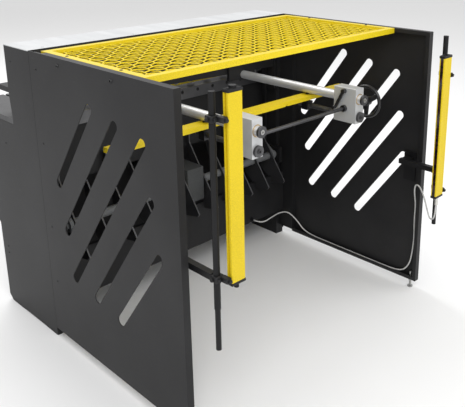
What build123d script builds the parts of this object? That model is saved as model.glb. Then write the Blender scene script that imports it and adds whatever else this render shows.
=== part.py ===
from build123d import *
import math
import os

os.makedirs("parts", exist_ok=True)

# Rear half of a motor-driven guillotine shear for sheet metal: the rear guard enclosure, the
# manual back gauge and the safety light curtain, on the machine frame that carries them.
# Millimetres. +Z up, +Y towards the operator's side, X = 0 midway between the side panels.
# The origin is on the floor, under the middle of the machine's depth.

# ---- driving dimensions -------------------------------------------------------------------
overall_width = 1250.0
guard_height = 1060.0
guard_depth = 785.0
guard_clearance = 38.0
table_drop = 274.0
cut_line = 870.0
table_front = 1340.0
sheet = 3.0
flange = 25.0
lip = 15.0

slot_width = 35.0
slot_pitch_y = 81.3
slot_pitch_z = 97.0
slot_front_margin = 146.0
slot_rear_margin = 173.0
slot_top_margin = 172.0
slot_bottom_margin = 268.0
slot_length_shares = (0.53, 0.764, 1.0, 0.764, 0.53)

frame_plate = 20.0
leg_width = 22.0
leg_depth = 189.0
guide_width = 42.0
guide_depth = 84.0

roof_front = 160.0
roof_rear = 745.0
roof_bar_width = 25.0
roof_bar_height = 20.0
roof_gap = 1.0
mesh_thickness = 1.5

blade_thickness = 16.0
blade_height = 48.0
blade_half_length = 540.0
blade_gap = 0.1
ram_plate = 40.0
ram_edge_rise = 52.0
ram_rake = 0.0314
ram_top_drop = 18.0

bar_radius = 18.0
bar_rise = 33.0
bar_left_x = -190.0
bar_right_x = 355.0
bar_front = 122.0
bar_disc_radius = 20.0
bar_disc = 8.0

block_width = 48.0
block_length = 104.0
block_front = 138.0
block_below_bar = 94.0
block_above_bar = 42.0
bush_radius = 21.5
bush_length = 28.0
running_gap = 0.05

shaft_radius = 7.0
shaft_drop = 39.0
screw_radius = 10.0
screw_drop = 69.0
screw_rear = 444.0
screw_disc_radius = 20.0
gear_radius = 14.9
gear_pocket = 1.2

wheel_x = 472.0
wheel_radius = 68.0
wheel_rim = 7.0

gauge_half_length = 585.0
gauge_rear = 375.0
gauge_width = 50.0
gauge_drop = 42.0
gauge_thickness = 18.0
nut_size = 34.0

post_x = 571.0
post_y = -86.0
post_radius = 9.5
post_foot_radius = 8.0
post_bottom = 344.0
post_top = 1098.0
curtain_x = 526.0
curtain_y = -116.0
curtain_width = 50.0
curtain_thickness = 22.0
curtain_length = 554.0
curtain_left_bottom = 550.0
curtain_right_bottom = 482.0
curtain_cap = 9.0
arm_size = 20.0
arm_height = 570.0
arm_rear = 85.0

rocker_radius = 17.0
rocker_y = 790.0
rocker_drop = 394.0
lever_x = 535.0
lever_width = 14.0
lever_reach_y = 50.0
lever_reach_z = 37.5
rod_x = 550.0
rod_width = 12.0

rib_count = 11
rib_pitch = 104.0
rib_thickness = 6.0
back_panel_y = 768.0
back_panel_bottom = 135.0
back_panel_drop = 494.0

cable_radius = 3.0

# ---- worked out from them -----------------------------------------------------------------
curtain_rear = curtain_y - curtain_thickness / 2 - 1.0
open_y = -(table_front + curtain_rear) / 2
half = overall_width / 2
guard_top = guard_clearance + guard_height
table_height = guard_top - table_drop
ram_edge_height = table_height + ram_edge_rise
ram_top = guard_top - ram_top_drop
bar_height = table_height + bar_rise
block_bottom = bar_height - block_below_bar
block_top = bar_height + block_above_bar
shaft_height = bar_height - shaft_drop
screw_height = bar_height - screw_drop
gauge_bottom = bar_height - gauge_drop
rocker_height = table_height - rocker_drop
back_panel_top = table_height - back_panel_drop
frame_inner = half - sheet - frame_plate
leg_inner = frame_inner - leg_width
guide_inner = frame_inner - guide_width
ram_half = guide_inner - 2.0
roof_half = half - flange - roof_gap
roof_bottom = guard_top - roof_bar_height
sides = (("left", -1), ("right", 1))
bar_xs = (("left", bar_left_x), ("right", bar_right_x))
block_middle = block_front + block_length / 2


def at(distance):
    """Y of a place that lies `distance` in front of the guard's open rear edge."""
    return open_y + distance


def save(builder, name):
    builder.part.label = name
    export_step(builder.part, f"parts/{name}.step")


def side_plane(x):
    """Plane across the machine at X = x, with Y along the sketch and Z up."""
    return Plane(origin=(x, 0, 0), x_dir=(0, 1, 0), z_dir=(1, 0, 0))


def block(x0, x1, y0, y1, z0, z1, mode=Mode.ADD):
    """Straight block between two corners; y is counted from the guard's open rear edge."""
    with Locations(((x0 + x1) / 2, at((y0 + y1) / 2), (z0 + z1) / 2)):
        Box(abs(x1 - x0), abs(y1 - y0), abs(z1 - z0), mode=mode)


def rod_x_axis(x0, x1, y, z, radius, mode=Mode.ADD):
    with Locations(Location(((x0 + x1) / 2, at(y), z), (0, 90, 0))):
        Cylinder(radius, abs(x1 - x0), mode=mode)


def rod_y_axis(x, y0, y1, z, radius, mode=Mode.ADD):
    with Locations(Location((x, at((y0 + y1) / 2), z), (90, 0, 0))):
        Cylinder(radius, abs(y1 - y0), mode=mode)


def rod_z_axis(x, y, z0, z1, radius, mode=Mode.ADD):
    with Locations((x, at(y), (z0 + z1) / 2)):
        Cylinder(radius, abs(z1 - z0), mode=mode)


def profile(points, x0, x1, mode=Mode.ADD):
    """Plate whose outline is given in (distance from the opening, height)."""
    with BuildSketch(side_plane(x0)) as outline:
        with BuildLine():
            Polyline(*[(at(y), z) for y, z in points], close=True)
        make_face()
    extrude(outline.sketch, amount=x1 - x0, mode=mode)


# ---- guard side panels: folded sheet with five slanting vent slots ---------------------------
slot_front_point = (slot_front_margin, guard_top - slot_top_margin)
slot_rear_point = (guard_depth - slot_rear_margin, guard_clearance + slot_bottom_margin)
slot_run = slot_rear_point[0] - slot_front_point[0]
slot_rise = slot_front_point[1] - slot_rear_point[1]
slot_full_length = math.hypot(slot_run, slot_rise)
slot_angle = -math.degrees(math.atan2(slot_rise, slot_run))
slot_middle = (slot_front_point[0] + slot_run / 2, slot_rear_point[1] + slot_rise / 2)
screw_rows = (251.0, 468.0, table_height - 45.0, guard_top - 58.0)
roof_screw_distances = (291.0, 596.0)
frame_overlap = 80.0
rear_screw_y = guard_depth - 43.0
panel_screw_radius = 3.0
roof_screw_radius = 4.0
roof_screw_z = guard_top - 26.0
foot_x = half - 12.5
foot_y = 30.0
foot_bolt_radius = 5.0

for name, side in sides:
    with BuildPart() as side_panel:
        block(side * (half - sheet), side * half, 0, guard_depth, guard_clearance, guard_top)
        block(side * (half - flange), side * half, 0, sheet, guard_clearance, guard_top)
        block(side * (half - flange), side * half, 0, guard_depth, guard_top - sheet, guard_top)
        block(side * (half - flange), side * half, 0, guard_depth,
              guard_clearance, guard_clearance + sheet)
        lip_x = half - flange
        block(side * lip_x, side * (lip_x + sheet), 0, lip, guard_clearance, guard_top)
        block(side * lip_x, side * (lip_x + sheet), 0, guard_depth, guard_top - lip, guard_top)
        block(side * lip_x, side * (lip_x + sheet), 0, guard_depth - frame_overlap,
              guard_clearance, guard_clearance + lip)
        rod_z_axis(side * foot_x, foot_y, guard_clearance - 1, guard_clearance + sheet + 1,
                   foot_bolt_radius, mode=Mode.SUBTRACT)
        block(side * (half - flange - 1), side * (half - sheet), guard_depth - frame_overlap,
              guard_depth + 1, guard_clearance - 1, guard_clearance + 4 * lip, mode=Mode.SUBTRACT)
        block(side * (half - flange - 1), side * (half - sheet), guard_depth - frame_overlap,
              guard_depth + 1, guard_top - 4 * lip, guard_top + 1, mode=Mode.SUBTRACT)
        with BuildSketch(side_plane(side * (half - sheet / 2))):
            for step, share in zip((2, 1, 0, -1, -2), slot_length_shares):
                with Locations((at(slot_middle[0] + step * slot_pitch_y),
                                slot_middle[1] + step * slot_pitch_z)):
                    SlotOverall(slot_full_length * share, slot_width, rotation=slot_angle)
        extrude(amount=sheet, both=True, mode=Mode.SUBTRACT)
        for z in screw_rows:
            rod_x_axis(side * (half - 2 * sheet), side * (half + sheet), rear_screw_y, z,
                       panel_screw_radius, mode=Mode.SUBTRACT)
        for y in roof_screw_distances:
            rod_x_axis(side * (half - 2 * sheet), side * (half + sheet), y, roof_screw_z,
                       roof_screw_radius, mode=Mode.SUBTRACT)
    save(side_panel, f"side_panel_{name}")

# ---- machine side frames: thick plates with the throat, and the legs ----------------------
cover_inset = 6.0
head_front = 968.0
throat_rear = 960.0
throat_top = table_height + 81.0
foot_front = 1178.0
belly_height = 344.0
apron_height = 470.0
table_plate = 20.0
table_under = table_height - table_plate
leg_rear = 791.0
leg_top = table_height - 74.0
cover_rear = guard_depth + 1.0
frame_rear = guard_depth - frame_overlap
frame_outline = [
    (frame_rear, guard_clearance + 7),
    (leg_rear - 1, guard_clearance + 7),
    (leg_rear - 1, 0),
    (foot_front - 2 * cover_inset, 0),
    (foot_front - cover_inset, 22),
    (foot_front - cover_inset, belly_height),
    (table_front - cover_inset, apron_height),
    (table_front - cover_inset, table_under),
    (throat_rear - cover_inset, table_under),
    (throat_rear - cover_inset, table_height + 16),
    (head_front - cover_inset, throat_top),
    (head_front - cover_inset, guard_top - cover_inset),
    (frame_rear, guard_top - cover_inset),
]
cover_outline = [
    (cover_rear, 23),
    (1071, 1),
    (foot_front - 28, 1),
    (foot_front, 22),
    (foot_front + 3, belly_height),
    (table_front, apron_height - 10),
    (table_front, table_under - 1),
    (throat_rear, table_under - 1),
    (throat_rear, table_height + 12),
    (head_front, throat_top),
    (head_front, guard_top - sheet),
    (cover_rear, guard_top - sheet),
]
cover_screws = ((1045, table_height - 111), (1137, 253), (1137, 224), (930, guard_top - 58),
                (1290, table_height - 64), (1290, apron_height + 50))
for name, side in sides:
    with BuildPart() as side_frame:
        profile(frame_outline, side * frame_inner, side * (half - sheet))
        block(side * leg_inner, side * frame_inner, leg_rear, leg_rear + leg_depth, 0, leg_top)
        for z in screw_rows:
            rod_x_axis(side * (half - sheet - 12), side * (half - sheet), rear_screw_y, z,
                       panel_screw_radius, mode=Mode.SUBTRACT)
        for y, z in cover_screws:
            rod_x_axis(side * (half - sheet - 12), side * (half - sheet), y, z,
                       panel_screw_radius, mode=Mode.SUBTRACT)
    save(side_frame, f"side_frame_{name}")

    with BuildPart() as side_cover:
        profile(cover_outline, side * (half - sheet), side * half)
        for y, z in cover_screws:
            rod_x_axis(side * (half - 2 * sheet), side * (half + sheet), y, z,
                       panel_screw_radius, mode=Mode.SUBTRACT)
    save(side_cover, f"side_cover_{name}")

with BuildPart() as cover_screws_part:
    for _, side in sides:
        places = [(rear_screw_y, z) for z in screw_rows] + list(cover_screws)
        for y, z in places:
            rod_x_axis(side * (half - sheet - 12), side * half, y, z, panel_screw_radius)
            rod_x_axis(side * half, side * (half + 2.0), y, z, panel_screw_radius + 2.0)
        for y in roof_screw_distances:
            rod_x_axis(side * (half - sheet), side * half, y, roof_screw_z, roof_screw_radius)
            rod_x_axis(side * half, side * (half + 2.0), y, roof_screw_z, roof_screw_radius + 4.0)
            rod_z_axis(side * (roof_half - 12), y, roof_bottom - 6, guard_top, 3)
            rod_z_axis(side * (roof_half - 12), y, guard_top, guard_top + 3, 6)
    for x in (-560, -190, 190, 560):
        rod_z_axis(x, cover_rear + 22, guard_top, guard_top + 1.5, 5)
save(cover_screws_part, "cover_screws")

# ---- ram guides -----------------------------------------------------------------------------
guide_rear = cut_line - guide_depth
for name, side in sides:
    with BuildPart() as ram_guide:
        block(side * guide_inner, side * frame_inner, guide_rear, cut_line,
              leg_top + 2, guard_top - 16)
        block(side * (guide_inner + 12), side * (guide_inner + 18), guide_rear, guide_rear + 10,
              leg_top, guard_top, mode=Mode.SUBTRACT)
    save(ram_guide, f"ram_guide_{name}")

# ---- roof: welded frame with expanded metal, on four brackets -------------------------------
with BuildPart() as roof_frame:
    block(-roof_half, roof_half, roof_front, roof_rear, roof_bottom, guard_top)
    block(-roof_half + roof_bar_width, roof_half - roof_bar_width, roof_front + roof_bar_width,
          roof_rear - roof_bar_width, roof_bottom - 1, guard_top + 1, mode=Mode.SUBTRACT)
    block(-roof_half + 10, roof_half - 10, roof_front + 10, roof_rear - 10,
          guard_top - 12, guard_top - 12 + mesh_thickness, mode=Mode.SUBTRACT)
    for _, side in sides:
        for y in roof_screw_distances:
            rod_z_axis(side * (roof_half - 12), y, roof_bottom - 1, guard_top + 1, 3,
                       mode=Mode.SUBTRACT)
save(roof_frame, "roof_frame")

with BuildPart() as roof_mesh:
    block(-roof_half + 10.2, roof_half - 10.2, roof_front + 10.2, roof_rear - 10.2,
          guard_top - 12, guard_top - 12 + mesh_thickness)
    for _, side in sides:
        for y in roof_screw_distances:
            rod_z_axis(side * (roof_half - 12), y, roof_bottom, guard_top, 3.2,
                       mode=Mode.SUBTRACT)
save(roof_mesh, "roof_mesh")

with BuildPart() as roof_brackets:
    for _, side in sides:
        for y in roof_screw_distances:
            block(side * (roof_half - roof_bar_width), side * (half - sheet), y - 20, y + 20,
                  roof_bottom - 6, roof_bottom)
            block(side * (half - sheet - 6), side * (half - sheet), y - 20, y + 20,
                  roof_bottom - 30, roof_bottom - 6)
            rod_z_axis(side * (roof_half - 12), y, roof_bottom - 7, roof_bottom + 1, 3,
                       mode=Mode.SUBTRACT)
save(roof_brackets, "roof_brackets")

# ---- top cover and head beam ------------------------------------------------------------------
with BuildPart() as top_cover:
    block(-half, half, cover_rear, head_front, guard_top - sheet, guard_top)
    block(-frame_inner + 1, frame_inner - 1, cover_rear, cover_rear + 2, guard_top - 14,
          guard_top - sheet)
    block(-frame_inner + 1, frame_inner - 1, head_front - 2, head_front, guard_top - 40,
          guard_top - sheet)
save(top_cover, "top_cover")

head_rear = 905.0
hold_rod_y = 930.0
hold_rod_radius = 12.0
head_wall = 12.0
head_bottom = table_height + 126.0
with BuildPart() as head_beam:
    block(-frame_inner, frame_inner, head_rear, head_front - 6,
          head_bottom, guard_top - 8)
    block(-frame_inner + 20, frame_inner - 20, head_rear - 1, head_front - 6 - head_wall,
          head_bottom + head_wall, guard_top - 8 - head_wall, mode=Mode.SUBTRACT)
    for x in (-400, 400):
        rod_z_axis(x, hold_rod_y, head_bottom - 1, head_bottom + head_wall + 1,
                   hold_rod_radius + running_gap, mode=Mode.SUBTRACT)
save(head_beam, "head_beam")

# ---- table, blades, hold-down and finger guard --------------------------------------------
lower_blade_front = cut_line + blade_gap + blade_thickness
with BuildPart() as lower_blade:
    block(-blade_half_length, blade_half_length, cut_line + blade_gap, lower_blade_front,
          table_height - blade_height, table_height)
    for step in range(-6, 7):
        rod_y_axis(step * 85.0, cut_line, lower_blade_front + 1, table_height - 16, 5,
                   mode=Mode.SUBTRACT)
        rod_y_axis(step * 85.0, cut_line, cut_line + 8, table_height - 16, 8,
                   mode=Mode.SUBTRACT)
save(lower_blade, "lower_blade")

with BuildPart() as lower_blade_screws:
    for step in range(-6, 7):
        rod_y_axis(step * 85.0, cut_line + 8, lower_blade_front + 14, table_height - 16, 5)
        rod_y_axis(step * 85.0, cut_line + 1.5, cut_line + 8, table_height - 16, 8)
        rod_y_axis(step * 85.0, cut_line, cut_line + 5, table_height - 16, 3.4,
                   mode=Mode.SUBTRACT)
save(lower_blade_screws, "lower_blade_screws")

beam_web = 24.0
beam_bottom = table_under - 244.0
with BuildPart() as table_beam:
    block(-frame_inner, frame_inner, lower_blade_front, lower_blade_front + beam_web,
          beam_bottom, table_under)
    block(-frame_inner, frame_inner, lower_blade_front, lower_blade_front + 190,
          beam_bottom, beam_bottom + 15)
    for step in range(-6, 7):
        rod_y_axis(step * 85.0, lower_blade_front, lower_blade_front + 14, table_height - 16, 5,
                   mode=Mode.SUBTRACT)
    block(-guide_inner - 3, -frame_inner, lower_blade_front - 1, lower_blade_front + 6,
          beam_bottom, leg_top + 1, mode=Mode.SUBTRACT)
    for _, side in sides:
        block(side * (leg_inner - 1), side * frame_inner, lower_blade_front - 1,
              leg_rear + leg_depth + 1, beam_bottom - 1, leg_top + 1, mode=Mode.SUBTRACT)
save(table_beam, "table_beam")

with BuildPart() as table_plate_part:
    block(-frame_inner, frame_inner, lower_blade_front, throat_rear, table_under, table_height)
    block(-half, half, throat_rear, table_front, table_under, table_height)
    for step in range(-6, 7):
        rod_y_axis(step * 85.0, lower_blade_front, lower_blade_front + 14, table_height - 16, 5,
                   mode=Mode.SUBTRACT)
    for x in (-480, -160, 160, 480):
        block(x - 5, x + 5, 1010, table_front + 1, table_height - 6, table_height + 1,
              mode=Mode.SUBTRACT)
save(table_plate_part, "table_plate")

apron_front = 1150.0
apron_bottom = 60.0
with BuildPart() as front_panel:
    block(-frame_inner, frame_inner, apron_front - sheet, apron_front, apron_bottom, table_under)
    block(-frame_inner, frame_inner, apron_front - 20, apron_front, apron_bottom,
          apron_bottom + sheet)
save(front_panel, "front_panel")

cover_front = 1110.0
front_cover_bottom = table_height + 83.0
front_cover_height = 20.0
with BuildPart() as front_cover:
    block(-frame_inner + 2, frame_inner - 2, head_front + 1, cover_front,
          front_cover_bottom, front_cover_bottom + front_cover_height)
    block(-frame_inner + 4, frame_inner - 4, head_front + 3, cover_front - 2,
          front_cover_bottom - 1, front_cover_bottom + front_cover_height - 2, mode=Mode.SUBTRACT)
save(front_cover, "front_cover")

hold_down_rear = 912.0
hold_down_bottom = table_height + 65.0
hold_down_top = hold_down_bottom + 16.0
with BuildPart() as hold_down_beam:
    block(-guide_inner + 5, guide_inner - 5, hold_down_rear, 1030,
          hold_down_bottom, hold_down_top)
    for x in (-400, 400):
        rod_z_axis(x, hold_rod_y, hold_down_top, head_bottom + 40, hold_rod_radius)
save(hold_down_beam, "hold_down_beam")

pad_clearance = 12.0
pad_count = 11
pad_pitch = 96.0
with BuildPart() as hold_down_pads:
    for index in range(pad_count):
        x = (index - (pad_count - 1) / 2) * pad_pitch
        rod_z_axis(x, 945, table_height + pad_clearance + 8, hold_down_bottom, 10)
        rod_z_axis(x, 945, table_height + pad_clearance, table_height + pad_clearance + 8, 17)
save(hold_down_pads, "hold_down_pads")

window_pitch = 80.0
window_count = 13
with BuildPart() as finger_guard:
    block(-guide_inner + 5, guide_inner - 5, head_rear - sheet, head_rear,
          table_height + 10, head_bottom + 26)
    for index in range(window_count):
        x = (index - (window_count - 1) / 2) * window_pitch
        block(x - 11, x + 11, head_rear - 2 * sheet, head_rear + sheet, table_height + 14,
              table_height + 30, mode=Mode.SUBTRACT)
        block(x - 33, x - 18, head_rear - 2 * sheet, head_rear + sheet, table_height + 36,
              table_height + 56, mode=Mode.SUBTRACT)
        block(x - 11, x + 11, head_rear - 2 * sheet, head_rear + sheet, table_height + 36,
              table_height + 56, mode=Mode.SUBTRACT)
        block(x + 18, x + 33, head_rear - 2 * sheet, head_rear + sheet, table_height + 36,
              table_height + 56, mode=Mode.SUBTRACT)
save(finger_guard, "finger_guard")

# ---- ram with its raked lower edge and blade ------------------------------------------------
ram_rear = 790.0
nose_rear = ram_rear + ram_plate
nose_front = cut_line - blade_gap - blade_thickness


def raked(x):
    """Height of the ram's lower edge, which falls towards +X."""
    return ram_edge_height - ram_rake * x


def raked_plate(half_length, y0, y1, low, high):
    """Plate along X whose lower and upper edges follow the rake, or a level top if high is None."""
    with BuildSketch(Plane(origin=(0, at(y0), 0), x_dir=(1, 0, 0), z_dir=(0, -1, 0))) as outline:
        with BuildLine():
            top_left = ram_top if high is None else raked(-half_length) + high
            top_right = ram_top if high is None else raked(half_length) + high
            Polyline((-half_length, raked(-half_length) + low), (half_length, raked(half_length) + low),
                     (half_length, top_right), (-half_length, top_left), close=True)
        make_face()
    extrude(outline.sketch, amount=-(y1 - y0))


with BuildPart() as ram_beam:
    raked_plate(ram_half, ram_rear, nose_rear, 0, None)
    raked_plate(blade_half_length, nose_rear, nose_front, 6, 70)
save(ram_beam, "ram_beam")

with BuildPart() as upper_blade:
    raked_plate(blade_half_length, nose_front, nose_front + blade_thickness, -18, 30)
    for step in range(-5, 6):
        x = step * 98.0
        rod_y_axis(x, nose_front + 8, nose_front + blade_thickness + 1, raked(x) + 15, 8,
                   mode=Mode.SUBTRACT)
save(upper_blade, "upper_blade")

with BuildPart() as upper_blade_screws:
    for step in range(-5, 6):
        x = step * 98.0
        rod_y_axis(x, nose_front + 8, nose_front + blade_thickness - 1, raked(x) + 15, 8)
        rod_y_axis(x, nose_front + 10, nose_front + blade_thickness, raked(x) + 15, 3.4,
                   mode=Mode.SUBTRACT)
save(upper_blade_screws, "upper_blade_screws")

mount_thickness = 15.0
mount_bottom = table_height + 14.0
mount_top = table_height + 136.0
with BuildPart() as bar_mounts:
    for _, x in bar_xs:
        block(x - 85, x + 70, ram_rear - mount_thickness, ram_rear, mount_bottom, mount_top)
        for dx in (-65, 50):
            for z in (mount_top - 45, mount_top - 15):
                rod_y_axis(x + dx, ram_rear - mount_thickness - 6, ram_rear - mount_thickness,
                           z, 8)
save(bar_mounts, "bar_mounts")

# ---- guide bars with their end discs -------------------------------------------------------
with BuildPart() as guide_bars:
    for _, x in bar_xs:
        rod_y_axis(x, bar_front, ram_rear - mount_thickness, bar_height, bar_radius)
        rod_y_axis(x, bar_front, bar_front + 14, bar_height, 5, mode=Mode.SUBTRACT)
save(guide_bars, "guide_bars")

with BuildPart() as bar_end_discs:
    for _, x in bar_xs:
        rod_y_axis(x, bar_front - bar_disc, bar_front, bar_height, bar_disc_radius)
        rod_y_axis(x, bar_front - bar_disc - 1, bar_front + 1, bar_height, 5, mode=Mode.SUBTRACT)
        rod_y_axis(x, bar_front - bar_disc - 1, bar_front - bar_disc + 4, bar_height, 9,
                   mode=Mode.SUBTRACT)
save(bar_end_discs, "bar_end_discs")

with BuildPart() as bar_end_screws:
    for _, x in bar_xs:
        rod_y_axis(x, bar_front - bar_disc + 4, bar_front + 14, bar_height, 5)
        rod_y_axis(x, bar_front - bar_disc - 2, bar_front - bar_disc + 4, bar_height, 8.6)
        rod_y_axis(x, bar_front - bar_disc - 3, bar_front - bar_disc + 2, bar_height, 3.6,
                   mode=Mode.SUBTRACT)
save(bar_end_screws, "bar_end_screws")

# ---- gauge carriage: two end blocks on the guide bars --------------------------------------
block_rear = block_front + block_length
clamp_stud_radius = 4.0
clamp_height = bar_height + 29.0
for name, x in bar_xs:
    with BuildPart() as end_block:
        block(x - block_width / 2, x + block_width / 2, block_front, block_rear,
              block_bottom, block_top)
        chamfer(end_block.edges().filter_by(Axis.Y), 1.5)
        rod_y_axis(x, block_front - 1, block_rear + 1, bar_height, bar_radius + 1,
                   mode=Mode.SUBTRACT)
        for y0 in (block_front, block_rear - bush_length):
            rod_y_axis(x, y0, y0 + bush_length, bar_height, bush_radius, mode=Mode.SUBTRACT)
        rod_y_axis(x, block_front - 1, block_rear + 1, screw_height, screw_radius + running_gap,
                   mode=Mode.SUBTRACT)
        rod_x_axis(x - block_width, x + block_width, block_middle, shaft_height,
                   shaft_radius + running_gap, mode=Mode.SUBTRACT)
        block(x - 12, x + 12, block_middle - gear_radius - gear_pocket,
              block_middle + gear_radius + gear_pocket, block_bottom - 1,
              shaft_height + gear_radius + gear_pocket, mode=Mode.SUBTRACT)
        block(x - gear_radius - gear_pocket, x + gear_radius + gear_pocket, block_middle - 14,
              block_middle + 14, block_bottom - 1, screw_height + gear_radius + gear_pocket,
              mode=Mode.SUBTRACT)
        if name == "right":
            rod_x_axis(x - block_width / 2, x, block_middle, clamp_height,
                       clamp_stud_radius + running_gap, mode=Mode.SUBTRACT)
    save(end_block, f"end_block_{name}")

with BuildPart() as guide_bushes:
    for _, x in bar_xs:
        for y0 in (block_front, block_rear - bush_length):
            rod_y_axis(x, y0, y0 + bush_length, bar_height, bush_radius)
            rod_y_axis(x, y0 - 1, y0 + bush_length + 1, bar_height, bar_radius + running_gap,
                       mode=Mode.SUBTRACT)
save(guide_bushes, "guide_bushes")

for name, x in bar_xs:
    with BuildPart() as lead_screw:
        rod_y_axis(x, block_front - 0.3, screw_rear, screw_height, screw_radius)
        rod_y_axis(x, block_front - 10, block_front - 0.3, screw_height, screw_disc_radius)
        rod_y_axis(x, block_front - 13, block_front - 10, screw_height, 8.6)
        rod_y_axis(x, block_front - 14, block_front - 8, screw_height, 3.6, mode=Mode.SUBTRACT)
        rod_y_axis(x, block_middle - 12, block_middle + 12, screw_height, gear_radius)
        rod_y_axis(x, block_rear + 0.3, block_rear + 8, screw_height, screw_radius + 5)
    save(lead_screw, f"lead_screw_{name}")

# ---- cross shaft, its gears, collars and the handwheel -------------------------------------
shaft_left = bar_left_x - block_width / 2 - 6.0
hub_length = 30.0
with BuildPart() as cross_shaft:
    rod_x_axis(shaft_left, wheel_x + hub_length / 2 + 2, block_middle, shaft_height, shaft_radius)
save(cross_shaft, "cross_shaft")

collar_radius = 13.0
collar_spans = (
    (bar_left_x + block_width / 2 + 0.4, bar_left_x + block_width / 2 + 12),
    (bar_right_x - block_width / 2 - 12, bar_right_x - block_width / 2 - 0.4),
    (bar_right_x + block_width / 2 + 0.4, bar_right_x + block_width / 2 + 12),
)
with BuildPart() as cross_gears:
    for _, x in bar_xs:
        rod_x_axis(x - 10, x + 10, block_middle, shaft_height, gear_radius)
    for x0, x1 in collar_spans:
        rod_x_axis(x0, x1, block_middle, shaft_height, collar_radius)
    rod_x_axis(bar_left_x - 60, bar_right_x + 60, block_middle, shaft_height, shaft_radius,
               mode=Mode.SUBTRACT)
save(cross_gears, "gears_and_collars")

wheel_hub_radius = 17.0
spoke_width = 24.0
with BuildPart() as handwheel:
    with Locations(Location((wheel_x, at(block_middle), shaft_height), (0, 90, 0))):
        Torus(wheel_radius - wheel_rim, wheel_rim)
    rod_x_axis(wheel_x - hub_length / 2, wheel_x + hub_length / 2, block_middle, shaft_height,
               wheel_hub_radius)
    with BuildSketch(side_plane(wheel_x - 3)):
        for turn in range(3):
            angle = math.radians(30 + 120 * turn)
            reach = wheel_radius - wheel_rim
            with Locations(Location((at(block_middle) + reach / 2 * math.cos(angle),
                                     shaft_height + reach / 2 * math.sin(angle), 0),
                                    (0, 0, math.degrees(angle)))):
                Rectangle(reach, spoke_width)
    extrude(amount=6)
    rod_x_axis(wheel_x - hub_length, wheel_x + hub_length, block_middle, shaft_height,
               shaft_radius, mode=Mode.SUBTRACT)
save(handwheel, "handwheel")

# ---- clamp lever on the right block --------------------------------------------------------
lever_face = bar_right_x - block_width / 2
lever_end_y = block_middle + 37.0
lever_end_z = clamp_height - 68.0
with BuildPart() as clamp_lever:
    rod_x_axis(lever_face, bar_right_x - 4, block_middle, clamp_height, clamp_stud_radius)
    rod_x_axis(lever_face - 15, lever_face - 0.4, block_middle, clamp_height, 9)
    rod_x_axis(lever_face - 0.4, lever_face, block_middle, clamp_height, clamp_stud_radius)
    with BuildSketch(side_plane(lever_face - 14)):
        lever_length = math.hypot(lever_end_y - block_middle, clamp_height - lever_end_z)
        lever_turn = math.degrees(math.atan2(lever_end_z - clamp_height, lever_end_y - block_middle))
        with Locations((at((block_middle + lever_end_y) / 2), (clamp_height + lever_end_z) / 2)):
            SlotCenterToCenter(lever_length, 11, rotation=lever_turn)
    extrude(amount=7)
    rod_x_axis(lever_face - 26, lever_face - 14, lever_end_y, lever_end_z, 7)
save(clamp_lever, "clamp_lever")

# ---- gauge bar with its nuts ---------------------------------------------------------------
gauge_middle = gauge_rear + gauge_width / 2
gauge_top = gauge_bottom + gauge_thickness
gauge_bolt_radius = 5.0
with BuildPart() as gauge_bar:
    block(-gauge_half_length, gauge_half_length, gauge_rear, gauge_rear + gauge_width,
          gauge_bottom, gauge_top)
    chamfer(gauge_bar.edges().filter_by(Axis.X).group_by(Axis.Z)[-1], 1.5)
    for _, x in bar_xs:
        rod_z_axis(x, gauge_middle, gauge_bottom - 1, gauge_top + 1, gauge_bolt_radius,
                   mode=Mode.SUBTRACT)
    with Locations((bar_right_x - 150, at(gauge_rear), gauge_bottom)):
        Cylinder(6, 14, mode=Mode.SUBTRACT)
save(gauge_bar, "gauge_bar")

nut_top = screw_height + nut_size / 2
with BuildPart() as gauge_nuts:
    for _, x in bar_xs:
        block(x - nut_size / 2, x + nut_size / 2, gauge_middle - 15, gauge_middle + 15,
              screw_height - nut_size / 2, nut_top)
        rod_z_axis(x, gauge_middle, nut_top, gauge_bottom, 11)
        rod_y_axis(x, gauge_middle - 20, gauge_middle + 20, screw_height,
                   screw_radius + running_gap, mode=Mode.SUBTRACT)
        rod_z_axis(x, gauge_middle, nut_top - 5, gauge_bottom + 1, gauge_bolt_radius,
                   mode=Mode.SUBTRACT)
save(gauge_nuts, "gauge_nuts")

with BuildPart() as gauge_bolts:
    for _, x in bar_xs:
        rod_z_axis(x, gauge_middle, nut_top - 5, gauge_top, gauge_bolt_radius)
        rod_z_axis(x, gauge_middle, gauge_top, gauge_top + 5, 8)
        rod_z_axis(x, gauge_middle, gauge_top + 2, gauge_top + 6, 3.6, mode=Mode.SUBTRACT)
save(gauge_bolts, "gauge_bolts")

# ---- chute ribs, back panel, rocker shaft and ram rods --------------------------------------
rib_top = table_height - 184.0
rib_outline = [
    (back_panel_y - 88, back_panel_top - 2),
    (cut_line - 10, rib_top - 57),
    (cut_line - 10, rib_top),
    (lower_blade_front, rib_top),
    (lower_blade_front, rib_top - 40),
    (rocker_y + 45, rocker_height + 15),
    (rocker_y + 45, rocker_height - 65),
    (back_panel_y + 18, back_panel_top + 1),
    (back_panel_y, back_panel_top + 1),
    (back_panel_y, back_panel_top - 30),
    (back_panel_y - 78, back_panel_top - 14),
]
with BuildPart() as chute_ribs:
    for index in range(rib_count):
        x = (index - (rib_count - 1) / 2) * rib_pitch
        profile(rib_outline, x - rib_thickness / 2, x + rib_thickness / 2)
        rod_x_axis(x - rib_thickness, x + rib_thickness, rocker_y, rocker_height,
                   rocker_radius + 4, mode=Mode.SUBTRACT)
save(chute_ribs, "chute_ribs")

with BuildPart() as back_panel:
    block(-frame_inner, frame_inner, back_panel_y, back_panel_y + sheet,
          back_panel_bottom, back_panel_top)
    block(-frame_inner, frame_inner, back_panel_y, back_panel_y + 16,
          back_panel_top - sheet, back_panel_top)
    block(-frame_inner, frame_inner, back_panel_y, back_panel_y + 16,
          back_panel_bottom, back_panel_bottom + sheet)
save(back_panel, "back_panel")

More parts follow.
